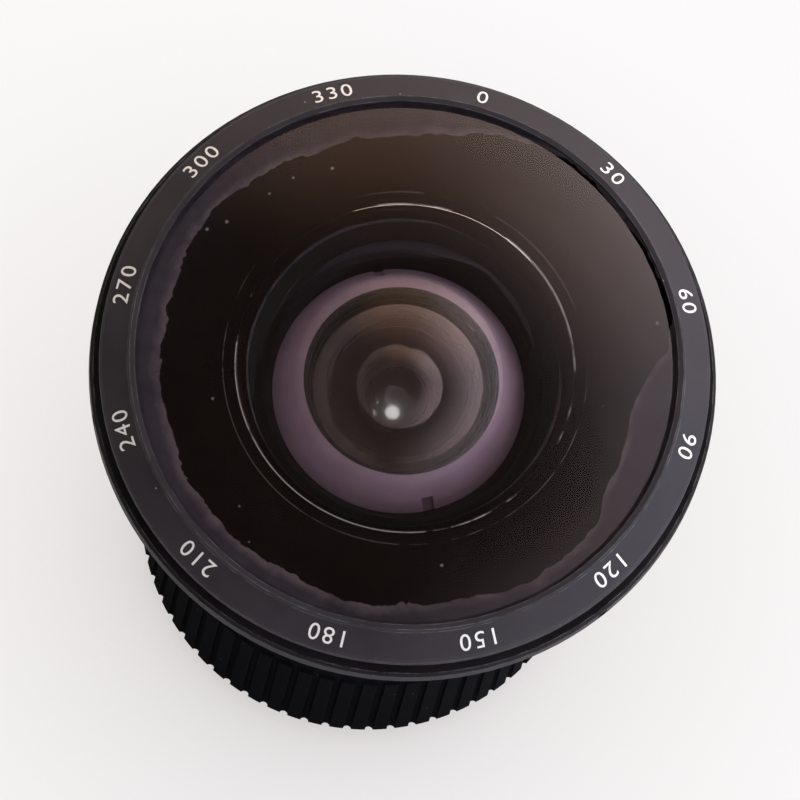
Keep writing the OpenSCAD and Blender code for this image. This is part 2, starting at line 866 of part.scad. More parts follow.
// Outline of the housing, from the axis to its outer surface
module housing_outline() {
    difference() {
        union() {
            translate([0, neck_z])
                square([neck_r, neck_h]);
            translate([0, flare_z])
                square([flare_top_r, lip_z - flare_z]);
            polygon([[0, lip_z], [rim_r - lip_chamfer, lip_z], [rim_r, lip_z + lip_chamfer],
                     [rim_r, lip_top_z - lip_chamfer], [rim_r - lip_chamfer, lip_top_z], [0, lip_top_z]]);
            translate([0, lip_top_z])
                square([rim_wall_r, rim_wall_h]);
        }
        translate([flare_center_r, flare_z])
            circle(flare_r);
    }
}

// Hollow of the housing above its web, one wall thickness inside the flare
module housing_hollow() {
    difference() {
        translate([0, web_top_z])
            square([front_r - ledge_w, front_edge_z - web_top_z]);
        translate([flare_center_r, flare_z])
            circle(flare_r + housing_wall);
        translate([neck_r - housing_wall, 0])
            square([housing_wall, flare_z]);
    }
}

// Bell-shaped front housing with its rim
module front_housing() {
    color(black_metal)
        difference() {
            rotate_extrude()
                housing_outline();
            rotate_extrude()
                housing_hollow();
            translate([0, 0, neck_z - cut])
                cylinder(r = core_out_r + seat_gap, h = web_z - neck_z + cut);
            translate([0, 0, web_z - cut])
                cylinder(r = spigot_r + seat_gap, h = web_t + 2 * cut);
            translate([0, 0, seal_z])
                cylinder(r = pocket_r, h = housing_top_z);
            translate([0, 0, skirt_z - face_gap])
                cylinder(r = skirt_out_r + seat_gap, h = housing_top_z);
            for (i = [0 : screw_count - 1])
                rotate(rim_screw_angle + 360 * i / screw_count)
                    translate([0, 0, rim_screw_z])
                        grub_hole(skirt_out_r - cut, rim_r + cut);
        }
}

// Seal under the edge of the front element
module front_seal() {
    color(rubber)
        tube(pocket_r - run_gap, pocket_r - seal_w, seal_z, seal_t - seat_gap);
}

// Front element: domed front, flat rear edge and deep hollow
module front_element() {
    color(glass)
        difference() {
            domed_glass(front_rear_z, front_r, front_edge_t, dome_r);
            translate([0, 0, bowl_center_z])
                sphere(bowl_r);
        }
}

// Sloping ring round the glass, with a bead and a threaded skirt
module name_ring() {
    color(satin_black)
        rotate_extrude()
            polygon([[skirt_in_r, skirt_z], [skirt_out_r, skirt_z], [skirt_out_r, housing_top_z],
                     [name_r, housing_top_z], [name_r, bevel_z - name_chamfer],
                     [name_r - name_chamfer, bevel_z], [bevel_in_r, bead_z],
                     [bevel_in_r - bead_w / 4, bead_top_z], [name_in_r, bead_top_z],
                     [name_in_r, name_under_z], [skirt_in_r, name_under_z]]);
}

// Headless screws in the rim's lip that lock the name ring
module rim_screws() {
    color(steel)
        for (i = [0 : screw_count - 1])
            rotate(rim_screw_angle + 360 * i / screw_count)
                translate([0, 0, rim_screw_z])
                    grub(skirt_out_r + seat_gap, rim_r - face_gap);
}

// Cell of the second element, with a spigot in the housing's web
module second_cell() {
    waist_z = front_cell_top_z + front_lip_t;
    taper_z = second_z - second_land_h;
    stop_r = front_cell_r - cell_stop_w;
    clear_r = second_bowl_rim_r + second_bowl_gap;
    color(satin_black)
        rotate_extrude()
            polygon([[front_cell_r + seat_gap, spigot_z], [spigot_r, spigot_z], [spigot_r, web_top_z],
                     [second_cell_r, web_top_z], [second_cell_r, second_cell_top_z],
                     [retainer_bore_r, second_cell_top_z], [retainer_bore_r, retainer_z - face_gap],
                     [second_pocket_r, retainer_z - face_gap], [second_pocket_r, second_z],
                     [clear_r, second_z], [clear_r, taper_z], [stop_r, waist_z],
                     [stop_r, front_cell_top_z + seat_gap],
                     [front_cell_r + seat_gap, front_cell_top_z + seat_gap]]);
}

// Second element
module second_element() {
    color(glass)
        difference() {
            domed_glass(second_z, second_r, second_edge_t, second_dome_r);
            translate([0, 0, second_bowl_z])
                sphere(second_bowl_r);
        }
}

// Sloping retaining ring with two spanner slots in its outer edge
module second_retainer() {
    slot_len = (retainer_r - second_clear_r) / 3;
    color(worn_anodise)
        difference() {
            rotate_extrude()
                polygon([[second_clear_r, retainer_under_z], [second_r, second_edge_z + 2 * run_gap],
                         [second_r + face_gap, retainer_z], [retainer_r, retainer_z],
                         [retainer_r, retainer_outer_z], [second_clear_r, retainer_top_z]]);
            around(2, retainer_r - slot_len, spanner_angle)
                translate([0, -spanner_w / 2, retainer_outer_z - slot_depth])
                    cube([slot_len + cut, spanner_w, slot_depth + retainer_top_z - retainer_outer_z + cut]);
        }
}

// Cell of the front doublet, screwed into the second cell
module front_cell() {
    color(black_metal)
        difference() {
            translate([0, 0, front_cell_z])
                cylinder(r = front_cell_r, h = front_cell_top_z - front_cell_z);
            translate([0, 0, front_cell_z - cut])
                cylinder(r = front_doublet_r + retainer_step + seat_gap, h = cell_retainer_t + cut);
            translate([0, 0, front_cell_z])
                cylinder(r = front_doublet_r + seat_gap, h = front_land_z - front_cell_z + seat_gap);
            translate([0, 0, front_cell_z])
                cylinder(r = front_clear_r + seat_gap, h = front_cell_top_z);
        }
}

// Positive glass of the front doublet
module front_crown() {
    color(glass)
        crown(front_crown_z, front_doublet_r, front_crown_t, front_clear_r, front_face_r, front_joint_r);
}

// Negative glass of the front doublet
module front_flint() {
    color(glass)
        flint(front_flint_z, front_doublet_r, front_flint_t, front_joint_r);
}

module front_retainer() {
    color(satin_black)
        cell_ring(front_doublet_r + retainer_step, front_clear_r, front_cell_z);
}

t_mount();
mount_screws();
rear_baffle();
rear_cell();
rear_crown();
rear_flint();
rear_retainer();
core_barrel();
stop_plate();
plate_screws();
stop_pivot();
stop_disc();
drive_ring();
drive_screw();
aperture_ring();
front_plate();
plate_retainer();
index_collar();
collar_screws();
index_dot();
click_ball();
click_spring();
front_housing();
front_seal();
front_element();
name_ring();
rim_screws();
second_cell();
second_element();
second_retainer();
front_cell();
front_crown();
front_flint();
front_retainer();
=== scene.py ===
# %% [markdown]
# A fisheye lens, seen from in front
#
# The turned metal, the glass and the ribbed ring come from the CAD model, which loads as a
# fixed frame in metres. This lesson adds what the CAD model leaves to Blender: finishes,
# filled numbers, the paint behind the front glass, the mount thread, the light and the camera.

# %% Load the frame
import json
import math

import bpy
from mathutils import Matrix, Vector


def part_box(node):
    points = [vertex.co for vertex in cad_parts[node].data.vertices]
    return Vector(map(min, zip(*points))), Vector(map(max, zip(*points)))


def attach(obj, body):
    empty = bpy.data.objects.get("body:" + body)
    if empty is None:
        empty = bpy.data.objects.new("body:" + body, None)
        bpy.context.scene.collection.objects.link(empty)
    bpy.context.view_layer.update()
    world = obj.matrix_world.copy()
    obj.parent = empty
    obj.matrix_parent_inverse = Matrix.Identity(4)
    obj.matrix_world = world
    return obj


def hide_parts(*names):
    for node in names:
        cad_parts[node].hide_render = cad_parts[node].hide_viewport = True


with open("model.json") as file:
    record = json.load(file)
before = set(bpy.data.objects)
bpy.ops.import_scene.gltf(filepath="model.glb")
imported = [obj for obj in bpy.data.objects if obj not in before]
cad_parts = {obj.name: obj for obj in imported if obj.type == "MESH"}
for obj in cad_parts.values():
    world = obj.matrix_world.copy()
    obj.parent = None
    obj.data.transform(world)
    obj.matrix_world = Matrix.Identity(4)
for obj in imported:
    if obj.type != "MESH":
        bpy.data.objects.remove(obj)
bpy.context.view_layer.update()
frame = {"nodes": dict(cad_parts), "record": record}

MM = 0.001
nodes = frame["nodes"]
print("CAD nodes:", len(nodes))

# %% [markdown]
# Camera
#
# The photograph was taken from above with a long lens, a little off the optical axis and
# rolled. A camera far away with a long focal length keeps the round rims nearly round. Its
# place follows from the tilt off the axis, the distance, the roll, the scale, and the pixel
# where the middle of the rim lies.

# %% Camera
IMAGE_SIDE = 800
SENSOR_MM = 36
RIM_DEPTH = 5 * MM
tilt = math.radians(17)
roll = math.radians(16)
distance = 3000 * MM
pixels_per_mm = 8.06
rim_pixel = Vector((403.5, 373.5))
rim_center = Vector((0, 0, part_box("name_ring")[1].z - RIM_DEPTH))

towards_camera = Vector((0, -math.sin(tilt), math.cos(tilt)))
level_right = Vector((1, 0, 0))
level_up = towards_camera.cross(level_right)
view_right = level_right * math.cos(roll) + level_up * math.sin(roll)
view_up = level_up * math.cos(roll) - level_right * math.sin(roll)
off_middle = (rim_pixel - Vector((IMAGE_SIDE, IMAGE_SIDE)) / 2) / pixels_per_mm * MM
aim = rim_center - view_right * off_middle.x + view_up * off_middle.y


def deselect_all():
    bpy.ops.object.select_all(action="DESELECT")


deselect_all()
bpy.ops.object.camera_add()
camera = bpy.context.object
camera.name = "camera"
turn = Matrix((view_right, view_up, towards_camera)).transposed()
camera.matrix_world = Matrix.Translation(aim + towards_camera * distance) @ turn.to_4x4()
camera.data.sensor_width = SENSOR_MM
camera.data.lens = pixels_per_mm / MM * distance * SENSOR_MM / IMAGE_SIDE
camera.data.clip_start = 0.05
camera.data.clip_end = 50
bpy.context.scene.camera = camera
bpy.context.scene.view_settings.view_transform = "Standard"
print("focal length %.0f mm" % camera.data.lens)

# %% [markdown]
# Node helpers
#
# A finish is a small graph of shader nodes. Short helpers keep the graphs readable. Some add a
# node and fill its sockets, do arithmetic or blend colours. Others work on places and
# directions, and the last ones start a material or a node group and place a group.

# %% Node helpers
def connect(tree, made, sockets):
    """Link each socket to an output, or give it a value."""
    for key, value in sockets.items():
        if isinstance(value, bpy.types.NodeSocket):
            tree.links.new(value, made.inputs[key])
        else:
            made.inputs[key].default_value = value


def add(tree, kind, sockets=None, **settings):
    made = tree.nodes.new(kind)
    for name, value in settings.items():
        setattr(made, name, value)
    connect(tree, made, sockets or {})
    return made


def math_node(tree, operation, a, b=0.0):
    return add(tree, "ShaderNodeMath", {0: a, 1: b}, operation=operation).outputs[0]


def remap(tree, value, low, high, to_low=0.0, to_high=1.0, curve="LINEAR"):
    sockets = {0: value, 1: low, 2: high, 3: to_low, 4: to_high}
    return add(tree, "ShaderNodeMapRange", sockets, interpolation_type=curve).outputs[0]


def blend_colors(tree, factor, a, b):
    return add(tree, "ShaderNodeMix", {0: factor, 6: a, 7: b}, data_type="RGBA").outputs[2]


print("node helpers ready")


# %% Place and direction helpers
def object_place(tree):
    return add(tree, "ShaderNodeTexCoord").outputs["Object"]


def height_of(tree, vector):
    return add(tree, "ShaderNodeSeparateXYZ", {0: vector}).outputs[2]


def flatten(tree, vector):
    return add(tree, "ShaderNodeVectorMath", {0: vector, 1: (1, 1, 0)}, operation="MULTIPLY").outputs[0]


def length(tree, vector):
    return add(tree, "ShaderNodeVectorMath", {0: vector}, operation="LENGTH").outputs["Value"]


def unit(tree, vector):
    return add(tree, "ShaderNodeVectorMath", {0: vector}, operation="NORMALIZE").outputs[0]


def dot(tree, a, b):
    return add(tree, "ShaderNodeVectorMath", {0: a, 1: b}, operation="DOT_PRODUCT").outputs["Value"]


def heading(angle):
    """The level direction at an angle round the axis."""
    return Vector((math.cos(angle), math.sin(angle), 0))


print("place and direction helpers ready")


# %% Material and group helpers
def start_material(name):
    made = bpy.data.materials.new(name)
    made.use_nodes = True
    tree = made.node_tree
    tree.nodes.clear()
    shader = add(tree, "ShaderNodeBsdfPrincipled")
    add(tree, "ShaderNodeOutputMaterial", {0: shader.outputs[0]})
    return made, tree, shader


def start_group(name, inputs, outputs):
    group = bpy.data.node_groups.new(name, "ShaderNodeTree")
    for label, value in inputs.items():
        socket = group.interface.new_socket(label, in_out="INPUT", socket_type="NodeSocketFloat")
        socket.default_value = value
    for label in outputs:
        group.interface.new_socket(label, in_out="OUTPUT", socket_type="NodeSocketFloat")
    return group, add(group, "NodeGroupInput"), add(group, "NodeGroupOutput")


def place_group(tree, group, sockets=None):
    return add(tree, "ShaderNodeGroup", sockets, node_tree=group)


print("material and group helpers ready")

# %% [markdown]
# Light and floor
#
# The lens stands on a white table. Cool light from a window on the right and warm light from a
# wall at the far side come in low, along the horizon, and the room is dim overhead, so the
# dome reflects them only away from its middle. The world carries all of this as a function of
# direction, so there is no lamp to see in the glass. The floor is white, also where it shows
# through the glasses, and it darkens in a soft shade close to the lens.

# %% World
world = bpy.data.worlds.new("studio")
bpy.context.scene.world = world
world.use_nodes = True
sky = world.node_tree
sky.nodes.clear()
direction = add(sky, "ShaderNodeTexCoord").outputs["Generated"]
height = height_of(sky, direction)
level = unit(sky, flatten(sky, direction))


def low_source(azimuth, spread, top, strength, color):
    """A source along the horizon: spread and top are pairs of degrees, full and then none."""
    facing = dot(sky, level, heading(math.radians(azimuth)))
    full, none = [math.cos(math.radians(a)) for a in spread]
    across = remap(sky, facing, none, full, curve="SMOOTHSTEP")
    full, none = [math.sin(math.radians(a)) for a in top]
    upward = remap(sky, height, none, full, 0.0, strength, curve="SMOOTHSTEP")
    brightness = math_node(sky, "MULTIPLY", across, upward)
    return add(sky, "ShaderNodeBackground", {0: color, 1: brightness}).outputs[0]


window = low_source(azimuth=12, spread=(20, 95), top=(25, 65), strength=3.2,
                    color=(0.88, 0.94, 1.1, 1))
warm_wall = low_source(azimuth=85, spread=(15, 60), top=(25, 60), strength=1.6,
                       color=(1.0, 0.68, 0.42, 1))
ROOM_COLOR = (1.0, 0.94, 0.9, 1)
ROOM_LOW, ROOM_OVERHEAD = 0.9, 0.3
OVERHEAD_FROM = 0.6
room_light = remap(sky, height, 0.0, OVERHEAD_FROM, ROOM_LOW, ROOM_OVERHEAD, curve="SMOOTHSTEP")
room = add(sky, "ShaderNodeBackground", {0: ROOM_COLOR, 1: room_light}).outputs[0]
light = add(sky, "ShaderNodeAddShader", {0: window, 1: warm_wall}).outputs[0]
light = add(sky, "ShaderNodeAddShader", {0: light, 1: room}).outputs[0]
add(sky, "ShaderNodeOutputWorld", {0: light})
print("world nodes:", len(sky.nodes))

# %% Floor
FLOOR_R = 4
SHADE_REACH = 0.05
SHADED, LIT = (0.52, 0.47, 0.47, 1), (1.0, 0.985, 0.98, 1)
CAMERA_GLOW = 0.84

deselect_all()
bpy.ops.mesh.primitive_circle_add(vertices=96, radius=FLOOR_R, fill_type="NGON")
floor = bpy.context.object
floor.name = "floor"
floor_finish, tree, shader = start_material("white_table")
connect(tree, shader, {"Base Color": (0.9, 0.895, 0.9, 1), "Roughness": 0.8, "Specular IOR Level": 0.1})
path = add(tree, "ShaderNodeLightPath")
through_glass = path.outputs["Is Transmission Ray"]
open_sky = add(tree, "ShaderNodeAmbientOcclusion", {"Distance": SHADE_REACH}, samples=8).outputs["AO"]
open_sky = math_node(tree, "MAXIMUM", open_sky, through_glass)
white = add(tree, "ShaderNodeEmission", {0: blend_colors(tree, open_sky, SHADED, LIT), 1: 1.0})
glow = math_node(tree, "MULTIPLY", path.outputs["Is Camera Ray"], CAMERA_GLOW)
glow = math_node(tree, "MAXIMUM", glow, through_glass)
seen = add(tree, "ShaderNodeMixShader", {0: glow, 1: shader.outputs[0], 2: white.outputs[0]})
connect(tree, tree.nodes["Material Output"], {0: seen.outputs[0]})
floor.data.materials.append(floor_finish)
print("floor radius:", FLOOR_R, "m")

# %% [markdown]
# Shared effects
#
# Turned, anodised metal shows three things again and again: fine lathe lines round the axis,
# cloudy fading, and bright worn edges. Each is a node group, so that every finish can place
# it with its own values. The edge mask compares the true normal with a rounded one.

# %% Lathe lines
SLANT = 1.37  # what a step along the axis counts for, beside a step in radius

lathe_lines, given, result = start_group("lathe_lines", {"Lines per mm": 6.0}, ["Height"])
place = object_place(lathe_lines)
radius = length(lathe_lines, flatten(lathe_lines, place))
along = math_node(lathe_lines, "MULTIPLY", height_of(lathe_lines, place), SLANT)
section = math_node(lathe_lines, "ADD", radius, along)
per_metre = math_node(lathe_lines, "MULTIPLY", given.outputs["Lines per mm"], 1 / MM)
lines = add(lathe_lines, "ShaderNodeTexNoise",
            {"W": math_node(lathe_lines, "MULTIPLY", section, per_metre), "Scale": 1.0, "Detail": 3.0,
             "Roughness": 0.6}, noise_dimensions="1D")
connect(lathe_lines, result, {"Height": lines.outputs[0]})
print("effect:", lathe_lines.name)

# %% Clouding
NOISE_LOW, NOISE_HIGH = 0.3, 0.7  # where a noise counts as none and as full
SPECK_CORE, SPECK_RIM = 0.05, 0.13  # shares of a Voronoi cell


def noise(tree, vector, scale, detail, roughness=0.5):
    sockets = {"Vector": vector, "Scale": scale, "Detail": detail, "Roughness": roughness}
    return add(tree, "ShaderNodeTexNoise", sockets).outputs[0]


clouding, given, result = start_group(
    "clouding", {"Scale": 120.0, "Specks per metre": 900.0, "Speck share": 0.035}, ["Cloud", "Specks"])
place = object_place(clouding)
cloud = noise(clouding, place, scale=given.outputs["Scale"], detail=6.0, roughness=0.62)
cells = add(clouding, "ShaderNodeTexVoronoi", {"Vector": place, "Scale": given.outputs["Specks per metre"]})
near = remap(clouding, cells.outputs["Distance"], SPECK_CORE, SPECK_RIM, 1.0, 0.0)
pick = add(clouding, "ShaderNodeSeparateColor", {0: cells.outputs["Color"]}).outputs[0]
rare = math_node(clouding, "LESS_THAN", pick, given.outputs["Speck share"])
connect(clouding, result, {"Cloud": remap(clouding, cloud, NOISE_LOW, NOISE_HIGH),
                           "Specks": math_node(clouding, "MULTIPLY", near, rare)})
print("effect:", clouding.name)

# %% Edge wear
FLAT_COSINE, EDGE_COSINE = 0.995, 0.86  # between the true normal and the rounded one
PATCH_LOW, PATCH_HIGH = 0.42, 0.62

edge_wear, given, result = start_group("edge_wear", {"Width": 0.2 * MM, "Amount": 1.0}, ["Mask"])
rounded = add(edge_wear, "ShaderNodeBevel", {"Radius": given.outputs["Width"]}, samples=4).outputs[0]
true_normal = add(edge_wear, "ShaderNodeNewGeometry").outputs["True Normal"]
edge = remap(edge_wear, dot(edge_wear, rounded, true_normal), FLAT_COSINE, EDGE_COSINE)
patchy = noise(edge_wear, object_place(edge_wear), scale=420.0, detail=5.0, roughness=0.7)
worn = math_node(edge_wear, "MULTIPLY", edge, remap(edge_wear, patchy, PATCH_LOW, PATCH_HIGH))
connect(edge_wear, result, {"Mask": math_node(edge_wear, "MULTIPLY", worn, given.outputs["Amount"])})
print("effect:", edge_wear.name)


# %% [markdown]
# Metal finishes
#
# Black anodising is a dark, slightly coloured layer under a hard clear surface. It fades in
# clouds, holds a few pale specks of dust, and wears to bare aluminium along its edges.
# One function builds every metal, from a dark and a faded colour and a few amounts. Below a
# height a bore can take a painted brown reflection, and inside a radius a ring a painted shadow.

# %% How a metal is built
DUST = (0.42, 0.4, 0.4, 1)
EDGE_SHADE = (0.006, 0.004, 0.005, 1)
REFLECTION_BLEND, EDGE_SHADE_BLEND = 0.3 * MM, 0.1 * MM
SMOOTHER, ROUGHER = 0.05, 0.06
BUMP_DISTANCE = 0.02 * MM


def bump(tree, height, strength):
    sockets = {"Strength": strength, "Distance": BUMP_DISTANCE, "Height": height}
    return add(tree, "ShaderNodeBump", sockets).outputs[0]


def metal(name, dark, faded, bare, roughness, lines=6.0, line_height=0.15, wear=0.5, specular=0.5,
          metallic=0.0, specks=0.25, deep_reflection=None, edge_shade_r=None):
    made, tree, shader = start_material(name)
    clouds = place_group(tree, clouding)
    edges = place_group(tree, edge_wear, {"Amount": wear})
    turned = place_group(tree, lathe_lines, {"Lines per mm": lines})
    color = blend_colors(tree, clouds.outputs["Cloud"], dark, faded)
    # Painted reflection: below the given height the colour turns to a lighter brown.
    if deep_reflection:
        below, reflection_color = deep_reflection
        depth = remap(tree, height_of(tree, object_place(tree)), below, below - REFLECTION_BLEND)
        color = blend_colors(tree, depth, color, reflection_color)
    # Painted shade: inside the given radius the colour turns near-black, the shadow of an inner edge.
    if edge_shade_r:
        radius = length(tree, flatten(tree, object_place(tree)))
        inside = remap(tree, radius, edge_shade_r, edge_shade_r + EDGE_SHADE_BLEND, 1.0, 0.0)
        color = blend_colors(tree, inside, color, EDGE_SHADE)
    dusty = math_node(tree, "MULTIPLY", clouds.outputs["Specks"], specks)
    color = blend_colors(tree, dusty, color, DUST)
    color = blend_colors(tree, edges.outputs["Mask"], color, bare)
    rough = remap(tree, clouds.outputs["Cloud"], 0, 1, roughness - SMOOTHER, roughness + ROUGHER)
    connect(tree, shader, {"Base Color": color, "Roughness": rough, "Metallic": metallic,
                           "Specular IOR Level": specular,
                           "Normal": bump(tree, turned.outputs["Height"], line_height)})
    return made


print("a metal places:", clouding.name, edge_wear.name, lathe_lines.name)

# %% The metals
ALUMINIUM = (0.5, 0.48, 0.47, 1)
DEEP_BLACK = dict(dark=(0.003, 0.002, 0.002, 1), faded=(0.007, 0.005, 0.0045, 1), bare=(0.04, 0.03, 0.03, 1),
                  roughness=0.5, lines=3.0, line_height=0.4, wear=0.2, specular=0.08)
DEEP_REFLECTION_COLOR = (0.06, 0.036, 0.03, 1)
METALS = {
    "black_anodised": dict(dark=(0.011, 0.0095, 0.0105, 1), faded=(0.021, 0.018, 0.02, 1), bare=ALUMINIUM,
                           roughness=0.4, specular=0.06),
    "mount_black": dict(dark=(0.012, 0.011, 0.012, 1), faded=(0.022, 0.02, 0.021, 1),
                        bare=(0.16, 0.15, 0.15, 1), roughness=0.4, specular=0.2, wear=0.25),
    # ring_black is far darker than the other black metal: painted shade from the rim above the ribbed ring.
    "ring_black": dict(dark=(0.0022, 0.0022, 0.0029, 1), faded=(0.0045, 0.0043, 0.0055, 1),
                       bare=(0.03, 0.029, 0.032, 1), roughness=0.5, specular=0.002, wear=0.3),
    "name_black": dict(dark=(0.028, 0.023, 0.0275, 1), faded=(0.04, 0.034, 0.0395, 1), bare=ALUMINIUM,
                       roughness=0.45, wear=0.35, specular=0.16, specks=0.7),
    "cell_black": DEEP_BLACK,
    # Below the second glass the bore is painted a lighter brown: a painted reflection deep in the lens.
    "bore_black": dict(DEEP_BLACK, deep_reflection=(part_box("second_element")[0].z, DEEP_REFLECTION_COLOR)),
    # worn_anodise is a real retainer ring, but its purple-grey colour is a painted reflection of the purple
    # glass coating.
    "worn_anodise": dict(dark=(0.25, 0.155, 0.205, 1), faded=(0.33, 0.215, 0.28, 1),
                         # Inside 13.8 mm this ring is painted near-black: a painted shadow of the retainer's
                         # inner edge.
                         bare=(0.4, 0.31, 0.36, 1), roughness=0.42, wear=0.0, specular=0.1, edge_shade_r=13.8 * MM),
    "brass": dict(dark=(0.5, 0.36, 0.14, 1), faded=(0.6, 0.46, 0.22, 1), bare=(0.75, 0.62, 0.36, 1),
                  roughness=0.3, metallic=1.0),
    "plated_brass": dict(dark=(0.68, 0.54, 0.51, 1), faded=(0.78, 0.65, 0.61, 1), bare=(0.85, 0.74, 0.7, 1),
                         roughness=0.5),
    "steel": dict(dark=(0.5, 0.5, 0.51, 1), faded=(0.6, 0.6, 0.61, 1), bare=(0.75, 0.75, 0.76, 1),
                  roughness=0.28, metallic=1.0),
    "black_steel": dict(dark=(0.02, 0.02, 0.022, 1), faded=(0.04, 0.04, 0.043, 1), bare=(0.4, 0.4, 0.41, 1),
                        roughness=0.35)}
finishes = {name: metal(name, **look) for name, look in METALS.items()}
print("metals:", ", ".join(METALS))


# %% [markdown]
# Glass, rubber and enamel
#
# The glasses are clear and single-coated: the coating makes reflections weak and tinted,
# which the shader's Specular Tint gives. A little dust shows in the roughness. The front
# crown has a haze: a share of its points is rough, so the bright stop behind it has a halo.
# Rubber and enamel are plain coats, two colours blended by the clouds.

# %% Glass
DUST_ROUGHNESS = 0.05
FILM_SMOOTH, FILM_ROUGH = 0.12, 0.36
CLEAR, HAZE_TINT = (1, 1, 1, 1), (1, 0.92, 0.91, 1)
GLASS_DUST = {"Scale": 60.0, "Specks per metre": 260.0}


def coated_glass(name, index, reflection, haze=0.0):
    made, tree, shader = start_material(name)
    clouds = place_group(tree, clouding, GLASS_DUST)
    dusty = math_node(tree, "MULTIPLY", clouds.outputs["Specks"], DUST_ROUGHNESS)
    if haze:
        film = add(tree, "ShaderNodeTexWhiteNoise", {"Vector": object_place(tree)}).outputs["Value"]
        film = math_node(tree, "LESS_THAN", film, haze)
        dusty = math_node(tree, "ADD", dusty, remap(tree, film, 0, 1, FILM_SMOOTH, FILM_ROUGH))
    connect(tree, shader, {"Base Color": HAZE_TINT if haze else CLEAR, "Roughness": dusty,
                           "Transmission Weight": 1.0, "IOR": index, "Specular Tint": reflection})
    return made


GLASSES = {
    "glass_front": dict(index=1.5, reflection=(0.33, 0.24, 0.22, 1)),
    "glass_inner": dict(index=1.6, reflection=(0.4, 0.3, 0.3, 1)),
    "glass_hazy": dict(index=1.6, reflection=(0.4, 0.29, 0.33, 1), haze=0.25),
    "glass_second": dict(index=1.72, reflection=(0.4, 0.28, 0.27, 1))}
for name, look in GLASSES.items():
    finishes[name] = coated_glass(name, **look)
print("glasses:", ", ".join(GLASSES))

# %% Rubber and enamel
GRAIN = 0.2


def plain_coat(name, dark, pale, roughness, scale):
    made, tree, shader = start_material(name)
    cloud = place_group(tree, clouding, {"Scale": scale}).outputs["Cloud"]
    connect(tree, shader, {"Base Color": blend_colors(tree, cloud, dark, pale), "Roughness": roughness,
                           "Normal": bump(tree, cloud, GRAIN)})
    return made


finishes["rubber"] = plain_coat("rubber", dark=(0.012, 0.011, 0.012, 1), pale=(0.03, 0.027, 0.03, 1),
                                roughness=0.75, scale=900.0)
finishes["enamel"] = plain_coat("enamel", dark=(0.8, 0.78, 0.74, 1), pale=(0.9, 0.89, 0.86, 1),
                                roughness=0.45, scale=700.0)
print("finishes so far:", len(finishes))

# %% [markdown]
# A finish for each node
#
# The CAD record names a material slot for each node, and each slot has the finish of the same
# name. A few pieces deep in the lens look different from the rest of their slot: the second
# glass bends light more, the front crown is hazy, and four pieces have the bore's black with a
# painted brown reflection deep down.

# %% A finish for each node
OWN_FINISH = {"second_element": "glass_second", "front_crown": "glass_hazy", "second_cell": "bore_black",
              "front_cell": "bore_black", "front_retainer": "bore_black", "front_plate": "bore_black"}
for part in frame["record"]["subparts"]:
    mesh = nodes[part["node"]].data
    mesh.materials.clear()
    mesh.materials.append(finishes[OWN_FINISH.get(part["node"], part["material_slot"])])


# %% [markdown]
# Filled numbers
#
# Numbers on a lens are cut with a rotary cutter and filled with white enamel. Each digit is
# a text object turned into a mesh, set on the sloping ring or the scale band one by one, so
# that it lies flat on the curved metal, and then all are joined to one piece.

# %% How digits are set
ENAMEL_PROUD = 0.02 * MM
UP = Vector((0, 0, 1))


def set_digit(digit, size, place):
    deselect_all()
    bpy.ops.object.text_add()
    made = bpy.context.object
    made.data.body = digit
    made.data.size = size
    made.data.align_x = "CENTER"
    made.data.align_y = "CENTER"
    made.data.extrude = ENAMEL_PROUD
    made.data.resolution_u = 6
    bpy.ops.object.convert(target="MESH")
    made = bpy.context.object
    made.matrix_world = place
    bpy.ops.object.transform_apply(location=True, rotation=True, scale=True)
    return made


def join_pieces(pieces, name):
    deselect_all()
    for piece in pieces:
        piece.select_set(True)
    bpy.context.view_layer.objects.active = pieces[0]
    bpy.ops.object.join()
    joined = bpy.context.object
    joined.name = name
    joined.data.materials.clear()
    joined.data.materials.append(finishes["enamel"])
    return joined


def axes_place(right, up, out, point):
    return Matrix.Translation(point) @ Matrix((right, up, out)).transposed().to_4x4()


def digit_turns(label, step):
    """Each digit of a label, with its angle from the label's middle."""
    return [(digit, (i - (len(label) - 1) / 2) * step) for i, digit in enumerate(label)]


print("a digit stands %.2f mm proud" % (ENAMEL_PROUD / MM))

# %% Front dial
DIGIT_SIZE = 3.1 * MM
DIGIT_STEP = math.radians(2.9)
BEAD_H, SLOPE_DROP = 0.5 * MM, 1.8 * MM
SLOPE_IN_R, SLOPE_OUT_R = 34.7 * MM, 37.65 * MM
slope_in_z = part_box("name_ring")[1].z - BEAD_H
slope_out_z = slope_in_z - SLOPE_DROP
slope_mid_r = (SLOPE_IN_R + SLOPE_OUT_R) / 2
slope_mid_z = (slope_in_z + slope_out_z) / 2
slope_angle = math.atan2(slope_in_z - slope_out_z, SLOPE_OUT_R - SLOPE_IN_R)


def slope_place(angle):
    around = heading(angle)
    right = around.cross(UP)
    up = around * math.cos(slope_angle) - UP * math.sin(slope_angle)
    return axes_place(right, up, right.cross(up), around * slope_mid_r + UP * slope_mid_z)


dial_pieces = []
for degrees in range(0, 360, 30):
    middle = math.radians(90 - degrees)
    for digit, turned_by in digit_turns(str(degrees), DIGIT_STEP):
        dial_pieces.append(set_digit(digit, DIGIT_SIZE, slope_place(middle - turned_by)))
dial_numbers = join_pieces(dial_pieces, "dial_numbers")
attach(dial_numbers, "barrel")
print("dial digits:", len(dial_pieces))

# %% [markdown]
# Aperture scale
#
# The ring's smooth band carries the stop numbers, a click step apart, each under the index
# dot when its stop is in use. The step follows from the angle between two holes of the stop
# disc and from the teeth of the disc and of the ring that turns it.

